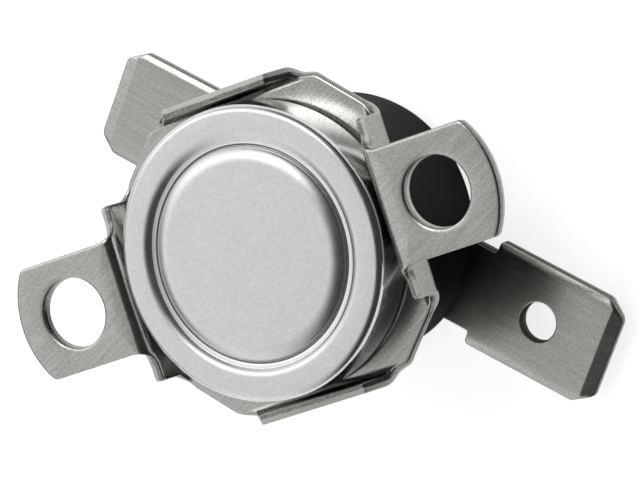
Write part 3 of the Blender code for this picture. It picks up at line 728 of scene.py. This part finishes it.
def bracket_blank(settings, wall_fold, flange_fold, ear_fold):
    """The blank's outline and holes. One quarter is listed and mirrored twice, and the result
    is cut wherever a bend line crosses it."""
    foot_arc = settings.foot_bend * math.pi / 2
    ear_arc = settings.ear_bend * math.pi / 2
    ear_shift = ear_fold + ear_arc - (wall_fold + settings.foot_bend + settings.ear_bend)
    ear_hole = EAR_HOLE_PLACE + ear_shift
    ear_end = BRACKET_HIGH.x + ear_shift
    half_ear = settings.ear_width / 2
    centre = ear_end - EAR_END_RADIUS
    corner = centre + math.sqrt(EAR_END_RADIUS**2 - half_ear**2)
    flange_end = flange_fold + foot_arc + settings.flange_height
    flange_end -= settings.sheet / 2 + settings.foot_bend
    # The chamfer's line is where x + y equals this
    chamfer = CHAMFER_DISTANCE * math.sqrt(2)
    chamfer_end = flange_fold + CHAMFER_RISE
    # The last two steps of the ear's round end give way to its rounded corner
    sweep = np.linspace(0, math.asin(half_ear / EAR_END_RADIUS), 13)[:-2]
    end = np.stack(
        [centre + EAR_END_RADIUS * np.cos(sweep), EAR_END_RADIUS * np.sin(sweep), 0 * sweep], 1
    )
    corners = [
        (corner, half_ear, 0.45 * MM),
        (ear_fold, half_ear, 1.0 * MM),
        (ear_fold, HALF_WALL, 0.3 * MM),
        (chamfer - HALF_WALL, HALF_WALL, 0.35 * MM),
        (chamfer - chamfer_end, chamfer_end, 0.8 * MM),
        (chamfer - chamfer_end - 0.9 * MM, flange_fold + 0.45 * MM, 0.7 * MM),
        (HALF_FLANGE, flange_end, 0.3 * MM),
    ]
    quarter = np.vstack([end, corners])
    outline = arcs(
        np.vstack(
            [
                quarter,
                quarter[::-1] * (-1, 1, 1),
                quarter[1:] * (-1, -1, 1),
                quarter[:0:-1] * (1, -1, 1),
            ]
        )
    )
    shares = np.linspace(0, 1, 2 * ARC_STEPS + 1)
    lines = [
        (0, wall_fold + shares * foot_arc),
        (0, ear_fold + shares * ear_arc),
        (1, flange_fold + shares * foot_arc),
    ]
    bars = []
    for axis, places in lines:
        for place in np.concatenate([places, -places]):
            outline = cut_at(outline, place, axis)
    for axis, places in lines:
        for place in np.concatenate([places, -places]):
            found = np.nonzero(np.abs(outline[:, axis] - place) <= CLOSE)[0]
            other = outline[found, 1 - axis]
            above = found[np.argmin(np.where(other > 0, other, 1))]
            below = found[np.argmax(np.where(other < 0, other, -1))]
            bars.append((above, below))
    holes = [
        circle(NECK_HOLE_RADIUS, NECK_HOLE_STEPS)[::-1],
        circle(settings.ear_hole, EAR_HOLE_STEPS, ear_hole)[::-1],
        circle(settings.ear_hole, EAR_HOLE_STEPS, -ear_hole)[::-1],
    ]
    return outline, holes, bars


class THERMOSTAT_OT_bracket(bpy.types.Operator):
    """Add the mounting bracket, bent up from one punched sheet"""

    bl_idname = "thermostat.bracket"
    bl_label = "Add Bracket"

    def execute(self, context):
        settings = context.scene.thermostat_bracket
        sheet_half = settings.sheet / 2
        foot, ear = settings.foot_bend, settings.ear_bend
        foot_arc = foot * math.pi / 2
        rise = BRACKET_HIGH.z - BRACKET_LOW.z - settings.sheet
        straight = rise - foot - ear
        wall_fold = CAP_HIGH.x + 0.1 * MM + sheet_half - foot
        flange_fold = BRACKET_HIGH.y - sheet_half - foot
        ear_fold = wall_fold + foot_arc + straight
        outline, holes, bars = bracket_blank(settings, wall_fold, flange_fold, ear_fold)

        def place(points, levels):
            """Along a fold, s is the length past the fold line. The sheet's angle is
            clip(s / R, 0, 90 degrees) less the same for the second fold, and its middle line is
            the sum of the two arcs and the straights between them. A point stands off the
            middle line by its level along the sheet's normal."""
            off = levels * sheet_half
            made = np.column_stack([points, off])
            for axis, fold, run in ((0, wall_fold, straight), (1, flange_fold, 1.0)):
                along = points[:, axis]
                s = np.abs(along) - fold
                first = np.clip(s / foot, 0, math.pi / 2)
                up = np.clip(s - foot_arc, 0, run)
                second = np.clip((s - foot_arc - run) / ear, 0, math.pi / 2)
                out = np.clip(s - foot_arc - run - ear * math.pi / 2, 0, None)
                angle = first - second
                reach = fold + foot * np.sin(first) + ear * (1 - np.cos(second)) + out
                height = foot * (1 - np.cos(first)) + up + ear * np.sin(second)
                reach = reach - off * np.sin(angle)
                height = height + off * np.cos(angle)
                made[s > 0, axis] = (np.sign(along) * reach)[s > 0]
                made[s > 0, 2] = height[s > 0]
            made[:, 2] += BRACKET_LOW.z + sheet_half
            return made

        # Rims are (inset in mm, level): the front rolls over, the cut is straight, and the
        # back is torn
        outer_rim = np.array(
            [(0.24, 1), (0.17, 0.985), (0.11, 0.955), (0.06, 0.90), (0.025, 0.83)]
            + [(0.005, 0.74), (0, 0.62), (0, -0.1)]
            + [(0.02, -0.7), (0.03, -0.93), (0.06, -1), (0.12, -1)]
        ) * (MM, 1)
        hole_rim = np.array(
            [(0.32, 1), (0.24, 0.985), (0.16, 0.955), (0.09, 0.90), (0.04, 0.83)]
            + [(0.01, 0.74), (0, 0.62), (0, -0.05)]
            + [(-0.03, -0.8), (-0.035, -0.97), (-0.02, -1), (0.05, -1)]
        ) * (MM, 1)
        points, sides, rim, levels = sheet(
            [outline, *holes], [outer_rim, hole_rim, hole_rim, hole_rim], place, bars=bars
        )
        piece = add_piece(
            "bracket_sheet",
            points,
            [*sides, rim],
            "bracket",
            "mounting_bracket",
            {"level": levels},
        )
        colour = settings.colour[:]
        piece.data.materials.append(plated_material("bracket_plating", colour, math.radians(23)))
        piece.data.materials.append(cut_edge_material("bracket_cut_edge", colour))
        shade_rim(piece, rim, levels)
        return {"FINISHED"}


def shade_rim(piece, rim, levels):
    """The rim's faces are the last ones. They take the second material, except where the front
    rolls over into the cut."""
    index = np.zeros(len(piece.data.polygons), np.int32)
    index[-len(rim) :] = levels[rim].mean(1) < ROLLED_LEVEL
    piece.data.polygons.foreach_set("material_index", index)


class THERMOSTAT_OT_terminals(bpy.types.Operator):
    """Add the two flat blade terminals"""

    bl_idname = "thermostat.terminals"
    bl_label = "Add Terminals"

    def execute(self, context):
        settings = context.scene.thermostat_terminals
        colour = settings.colour[:]
        materials = [
            plated_material("terminal_plating", colour, TERMINAL_ANGLE),
            cut_edge_material("terminal_cut_edge", colour),
        ]
        half = settings.width / 2
        neck = 2.4 * MM
        shoulder, tip, inner = 8.6 * MM, 16.75 * MM, 1.5 * MM
        corner_length, corner_depth = 1.15 * MM, 0.8 * MM
        corners = [
            (inner, -neck, 0.8 * MM),
            (shoulder, -neck, 0.15 * MM),
            (shoulder, -half, 0.2 * MM),
            (tip - corner_length, -half, 0.4 * MM),
            (tip, corner_depth - half, 0.52 * MM),
        ]
        corners += [(x, -y, radius) for x, y, radius in corners[::-1]]
        outline = arcs(corners)
        loops = [
            outline,
            circle(RIVET_HOLE_RADIUS, RIVET_HOLE_STEPS, RIVET_PLACE)[::-1],
            circle(settings.hole, BLADE_HOLE_STEPS, BLADE_HOLE_PLACE)[::-1],
        ]
        thick_half = (TERMINAL_HIGH.z - TERMINAL_LOW.z) / 2
        middle = (TERMINAL_HIGH.z + TERMINAL_LOW.z) / 2
        side_start = half - SIDE_BEVEL_WIDTH
        tip_start = tip - settings.tip_bevel

        def ramp(past, softness):
            """The distance past a bevel's start, and nothing before it, with a soft start: half
            the sum of that distance and the root of its square plus the softness's square."""
            return (past + np.sqrt(past**2 + softness**2)) / 2

        def place(points, levels):
            """Half the thickness is the flat half less the deeper of the tip's and the sides'
            bevels, each a ramp times its slope. The neck, short of the shoulder, has none at
            its sides."""
            x, y = points[:, 0], points[:, 1]
            past_side = np.where(x > shoulder, np.abs(y) - side_start, -1)
            cut = np.maximum(
                TIP_BEVEL_SLOPE * ramp(x - tip_start, TIP_BEVEL_SOFTNESS),
                SIDE_BEVEL_SLOPE * ramp(past_side, SIDE_BEVEL_SOFTNESS),
            )
            return in_terminal_frame(
                np.stack([x, y, middle + levels * (thick_half - cut)], 1)
            )

        rim = np.array(
            [(0.08, 1), (0.045, 1), (0.012, 0.96), (0, 0.88), (0, -0.88), (0.012, -0.96)]
            + [(0.045, -1), (0.08, -1)]
        ) * (MM, 1)
        # A grid over the blade, with extra lines where the bevels start
        spacing = 0.11 * MM
        across = np.linspace(-half, half, int(2 * half / spacing))
        creases = side_start + np.array([-0.15, -0.09, -0.04, 0, 0.04]) * MM
        across = np.sort(np.concatenate([across, creases, -creases]))
        along = np.concatenate(
            [np.arange(inner, tip, spacing), tip_start + np.array([-0.04, 0, 0.04]) * MM]
        )
        grid = np.stack(np.meshgrid(np.sort(along), across), -1).reshape(-1, 2)
        margins = [loop + inward(loop) * 0.13 * MM for loop in loops]
        grid = grid[inside(grid, margins)]
        points, sides, rim_faces, levels = sheet(loops, [rim] * 3, place, grid)
        half_turn = np.array([[-1, 0, 0], [0, -1, 0], [0, 0, 1]])
        for name, node, turn in (
            ("fixed_side_blade", "fixed_side_terminal", np.eye(3)),
            ("spring_side_blade", "spring_side_terminal", half_turn),
        ):
            piece = add_piece(
                name,
                points @ turn,
                [*sides, rim_faces],
                "switch_body",
                node,
                {"level": levels},
            )
            for material in materials:
                piece.data.materials.append(material)
            shade_rim(piece, rim_faces, levels)
        return {"FINISHED"}


class THERMOSTAT_OT_housing(bpy.types.Operator):
    """Add the moulded housing with its terminal slots and rivet holes"""

    bl_idname = "thermostat.housing"
    bl_label = "Add Housing"

    def execute(self, context):
        settings = context.scene.thermostat_housing
        barrel = HOUSING_HIGH.x
        top, bottom = HOUSING_HIGH.z, HOUSING_LOW.z
        neck, groove, cavity = 6.8 * MM, 6.25 * MM, 5.4 * MM
        shoulder = BRACKET_LOW.z - SWIVEL_PLAY
        land = CAP_LOW.z - SEAT_GAP
        collar = CAP_LOW.z + 0.43 * MM
        floor = 3.81 * MM
        profile = arcs(
            [
                (0, floor, 0),
                (cavity, floor, 0.2 * MM),
                (cavity, top, 0),
                (neck, top, 0.1 * MM),
                (neck, collar, 0),
                (groove, collar, 0),
                (groove, land, 0),
                (neck, land, 0),
                (neck, shoulder, 0),
                (barrel, shoulder, 0.15 * MM),
                (barrel, bottom, settings.edge),
                (0, bottom, 0),
            ]
        )
        points, quads = turned(profile, closed=False)
        piece = add_piece(
            "housing_moulding", points, [quads], "switch_body", "housing"
        )
        cutters = []
        slot_half, slot_top = 2.45 * MM, TERMINAL_HIGH.z + SEAT_GAP
        for side in (1, -1):
            u = np.array([1.45 * MM, 20 * MM]) * side
            box = np.stack(np.meshgrid(u, [-slot_half, slot_half], [-MM, slot_top]), -1)
            cutters.append(cutter(in_terminal_frame(box.reshape(-1, 3)), BOX_FACES))
            hole = circle(RIVET_HOLE_RADIUS, RIVET_HOLE_STEPS, side * RIVET_PLACE)
            column = np.vstack([hole, hole])
            heights = np.repeat([-MM, 8 * MM], RIVET_HOLE_STEPS)[:, None]
            cutters.append(prism(in_terminal_frame(np.hstack([column, heights]))))
        for tool in cutters:
            cut = piece.modifiers.new("cut", "BOOLEAN")
            cut.object = tool
            cut.solver = "EXACT"
        soften = piece.modifiers.new("soften", "BEVEL")
        soften.width = 0.06 * MM
        soften.segments = 2
        soften.limit_method = "ANGLE"
        soften.angle_limit = math.radians(50)
        bpy.context.view_layer.update()
        evaluated = piece.evaluated_get(context.evaluated_depsgraph_get())
        baked = bpy.data.meshes.new_from_object(evaluated)
        piece.modifiers.clear()
        piece.data = baked
        baked.name = piece.name
        baked.shade_smooth()
        baked.set_sharp_from_angle(angle=SHARP_ANGLE)
        for tool in cutters:
            bpy.data.objects.remove(tool)
        baked.materials.clear()
        baked.materials.append(phenolic_material(settings.colour[:]))
        return {"FINISHED"}


# The faces of a box whose corners run along z first, then x, then y
BOX_FACES = [(0, 1, 3, 2), (4, 6, 7, 5), (0, 4, 5, 1), (2, 3, 7, 6), (0, 2, 6, 4), (1, 5, 7, 3)]


def cutter(points, faces):
    """A closed tool for a Boolean cut, with its normals pointing outwards."""
    mesh = bpy.data.meshes.new("cutter")
    mesh.from_pydata(points.tolist(), [], faces)
    centre = points.mean(0)
    mesh.update()
    first = mesh.polygons[0]
    if (np.array(first.center) - centre) @ np.array(first.normal) < 0:
        mesh.flip_normals()
    tool = bpy.data.objects.new("cutter", mesh)
    bpy.context.scene.collection.objects.link(tool)
    tool.hide_render = True
    return tool


def prism(points):
    """A closed prism whose points are its lower ring and then its upper ring."""
    n = len(points) // 2
    low = np.arange(n)
    sides = np.stack([low, np.roll(low, -1), np.roll(low, -1) + n, low + n], 1)
    return cutter(points, [low[::-1].tolist(), (low + n).tolist(), *sides.tolist()])


class THERMOSTAT_OT_rivets(bpy.types.Operator):
    """Add the two hollow rivets that hold the terminals"""

    bl_idname = "thermostat.rivets"
    bl_label = "Add Rivets"

    def execute(self, context):
        material = metal_material("rivet_brass", (0.72, 0.60, 0.36), 0.34)
        head, top = 0.55 * MM, RIVET_HIGH.z
        roll_back = top - 0.35 * MM
        shank, bore, roll, brim = 0.8 * MM, 0.45 * MM, 1.25 * MM, 1.7 * MM
        profile = arcs(
            [
                (bore, roll_back, 0.1 * MM),
                ((shank + bore) / 2, top, 0.1 * MM),
                (roll, top, 0.25 * MM),
                (roll, roll_back, 0.06 * MM),
                (shank, roll_back, 0),
                (shank, head, 0),
                (brim, head, 0.08 * MM),
                (brim, 0, 0.32 * MM),
                ((shank + bore) / 2, 0, 0.12 * MM),
                (bore, head, 0.2 * MM),
            ]
        )
        points, quads = turned(profile, closed=True, steps=SMALL_TURN_STEPS)
        for name, node, place in (
            ("fixed_side_hollow_rivet", "fixed_side_rivet", RIVET_PLACE),
            ("spring_side_hollow_rivet", "spring_side_rivet", -RIVET_PLACE),
        ):
            placed = in_terminal_frame(points + (place, 0, 0))
            piece = add_piece(name, placed, [quads], "switch_body", node)
            piece.data.materials.append(material)
        return {"FINISHED"}


class THERMOSTAT_OT_inner_finishes(bpy.types.Operator):
    """Give the hidden inner pieces their finishes"""

    bl_idname = "thermostat.inner_finishes"
    bl_label = "Finish Inner Pieces"

    def execute(self, context):
        brass = metal_material("strip_brass", (0.72, 0.55, 0.28), 0.34)
        silver = metal_material("contact_silver_finish", (0.86, 0.85, 0.82), 0.25)
        finishes = {
            "bimetal_disc": metal_material("bimetal_finish", (0.55, 0.53, 0.50), 0.38),
            "pin_guide": phenolic_material((0.007, 0.007, 0.0075)),
            "push_pin": ceramic_material(),
            "fixed_side_strip": brass,
            "spring_side_strip": brass,
            "contact_spring": metal_material("spring_finish", (0.72, 0.42, 0.26), 0.3),
            "moving_contact": silver,
            "fixed_contact": silver,
        }
        for node, material in finishes.items():
            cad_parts[node].data.materials.clear()
            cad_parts[node].data.materials.append(material)
        return {"FINISHED"}


class THERMOSTAT_OT_stage(bpy.types.Operator):
    """Add the floor, the lamps, the world and the camera"""

    bl_idname = "thermostat.stage"
    bl_label = "Add Stage"

    def execute(self, context):
        settings = context.scene.thermostat_stage
        scene = context.scene
        scene.view_settings.view_transform = "Standard"
        add_floor(settings.floor_colour[:])
        add_world()
        add_lamp("key_lamp", (-0.02, 0.18, 0.30), 0.14, settings.key_power)
        add_camera()
        return {"FINISHED"}


def add_floor(colour):
    """A pale floor. It also glows to the camera and in reflections, which brings its lit parts
    to white and leaves the shadow. What metal mirrors of it glows only where the sky is open."""
    mesh = bpy.data.meshes.new("floor")
    corners = np.array([(-1, -1, 0), (1, -1, 0), (1, 1, 0), (-1, 1, 0)]) * FLOOR_REACH
    corners[:, 2] = -FLOOR_DROP
    mesh.from_pydata(corners.tolist(), [], [(0, 1, 2, 3)])
    floor = bpy.data.objects.new("floor", mesh)
    bpy.context.scene.collection.objects.link(floor)
    shader = Shader("floor_paper", colour, 0.9)
    rays = shader.node("ShaderNodeLightPath").outputs
    seen = shader.math("MAXIMUM", rays["Is Camera Ray"], rays["Is Transmission Ray"])
    sky = shader.node("ShaderNodeAmbientOcclusion", {"samples": 8}, Distance=0.02)
    open_floor = shader.remap(sky.outputs["AO"], 0.4, 0.9, 0.0, 0.5)
    mirrored = shader.math("MULTIPLY", rays["Is Glossy Ray"], open_floor)
    shader.surface.inputs["Emission Color"].default_value = (1, 1, 1, 1)
    glow = shader.math("MAXIMUM", shader.math("MULTIPLY", seen, 0.8), mirrored)
    shader.set(Emission_Strength=glow)
    shader.surface.inputs["Specular IOR Level"].default_value = 0.0
    mesh.materials.append(shader.material)


def add_world():
    """A soft room with dim walls: a long soft box overhead to the left, brighter on that side, a
    faint glow above the far end, and a narrow lamp between them. Each edge is a smooth ramp
    over the dot product with one direction."""
    world = bpy.data.worlds.new("soft_room")
    bpy.context.scene.world = world
    world.use_nodes = True
    tree = world.node_tree
    background = tree.nodes["Background"]
    place = tree.nodes.new("ShaderNodeTexCoord").outputs["Generated"]

    def ramp(direction, low, high, dim, bright):
        """From dim to bright while the dot product with the direction goes from low to high."""
        towards = tree.nodes.new("ShaderNodeVectorMath")
        towards.operation = "DOT_PRODUCT"
        towards.inputs[1].default_value = direction
        made = tree.nodes.new("ShaderNodeMapRange")
        made.interpolation_type = "SMOOTHSTEP"
        for key, number in zip(RANGE_SOCKETS, (low, high, dim, bright)):
            made.inputs[key].default_value = number
        tree.links.new(place, towards.inputs[0])
        tree.links.new(towards.outputs["Value"], made.inputs["Value"])
        return made.outputs["Result"]

    def joined(operation, first, second):
        made = tree.nodes.new("ShaderNodeMath")
        made.operation = operation
        tree.links.new(first, made.inputs[0])
        tree.links.new(second, made.inputs[1])
        return made.outputs["Value"]

    box = joined(
        "MULTIPLY",
        ramp((1, 0, 0), -0.98, -0.80, 0.15, 1.0),
        ramp((-0.98, 0.1, 0), -0.04, 0.32, 0.06, 0.80),
    )
    box = joined("MULTIPLY", box, ramp((-1, 0, 0), 0.40, 0.60, 0.70, 1.12))
    far_end = joined(
        "MULTIPLY",
        ramp((-0.1, 0.75, 0.65), 0.70, 0.92, 0.0, 0.3),
        ramp((0, 0, 1), 0.25, 0.6, 0.2, 1.0),
    )
    lamp = joined(
        "MULTIPLY",
        ramp((0, 1, 0), 0.26, 0.46, 0.0, 0.6),
        ramp((0, 1, 0), 0.55, 0.78, 1.0, 0.0),
    )
    lamp = joined("MULTIPLY", lamp, ramp((-1, 0, 0), 0.02, 0.15, 0.0, 1.0))
    lamp = joined("MULTIPLY", lamp, ramp((0, 0, 1), 0.2, 0.5, 0.0, 1.0))
    light = joined("ADD", box, joined("ADD", far_end, lamp))
    tree.links.new(light, background.inputs["Color"])
    background.inputs["Strength"].default_value = 1.0


def add_lamp(name, place, size, power):
    """A square area lamp that faces the object."""
    light = bpy.data.lights.new(name, "AREA")
    light.size = size
    light.energy = power
    lamp = bpy.data.objects.new(name, light)
    bpy.context.scene.collection.objects.link(lamp)
    lamp.location = place
    aim = -lamp.location.normalized()
    lamp.rotation_euler = aim.to_track_quat("-Z", "Y").to_euler()


def add_camera():
    """The camera that the photograph was taken with, as worked out from the ears, the cap and
    the terminals. Its columns are its right, up and back directions."""
    data = bpy.data.cameras.new("camera")
    data.lens = 258.9
    data.sensor_width = 36.0
    data.clip_end = 10.0
    camera = bpy.data.objects.new("camera", data)
    bpy.context.scene.collection.objects.link(camera)
    right = (0.8173, -0.3080, -0.4871)
    up = (0.2728, 0.9513, -0.1438)
    back = (0.5076, -0.0153, 0.8615)
    place = (0.12748, -0.00417, 0.22176)
    matrix = np.eye(4)
    matrix[:3, 0], matrix[:3, 1], matrix[:3, 2], matrix[:3, 3] = right, up, back, place
    camera.matrix_world = Matrix(matrix.tolist())
    bpy.context.scene.camera = camera


PIECES = (
    THERMOSTAT_OT_cap,
    THERMOSTAT_OT_bracket,
    THERMOSTAT_OT_terminals,
    THERMOSTAT_OT_housing,
    THERMOSTAT_OT_rivets,
    THERMOSTAT_OT_inner_finishes,
    THERMOSTAT_OT_stage,
)
SETTINGS = {
    "thermostat_cap": CapSettings,
    "thermostat_bracket": BracketSettings,
    "thermostat_terminals": TerminalSettings,
    "thermostat_housing": HousingSettings,
    "thermostat_stage": StageSettings,
}


class THERMOSTAT_PT_sidebar(bpy.types.Panel):
    """Lists the pieces with their settings"""

    bl_idname = "THERMOSTAT_PT_sidebar"
    bl_label = "Thermostat"
    bl_space_type = "VIEW_3D"
    bl_region_type = "UI"
    bl_category = "Thermostat"

    def draw(self, context):
        for name in SETTINGS:
            box = self.layout.box()
            group = getattr(context.scene, name)
            for key in group.bl_rna.properties.keys():
                if key not in ("rna_type", "name"):
                    box.prop(group, key)
        for operator in PIECES:
            self.layout.operator(operator.bl_idname)


def register():
    for settings in SETTINGS.values():
        bpy.utils.register_class(settings)
    for name, settings in SETTINGS.items():
        setattr(bpy.types.Scene, name, PointerProperty(type=settings))
    for operator in PIECES:
        bpy.utils.register_class(operator)
    bpy.utils.register_class(THERMOSTAT_PT_sidebar)


def unregister():
    bpy.utils.unregister_class(THERMOSTAT_PT_sidebar)
    for operator in reversed(PIECES):
        bpy.utils.unregister_class(operator)
    for name in SETTINGS:
        delattr(bpy.types.Scene, name)
    for settings in reversed(SETTINGS.values()):
        bpy.utils.unregister_class(settings)


def main():
    register()
    bpy.ops.thermostat.stage()
    bpy.ops.thermostat.cap()
    bpy.ops.thermostat.bracket()
    bpy.ops.thermostat.terminals()
    bpy.ops.thermostat.housing()
    bpy.ops.thermostat.rivets()
    bpy.ops.thermostat.inner_finishes()


if __name__ == "__main__":
    main()
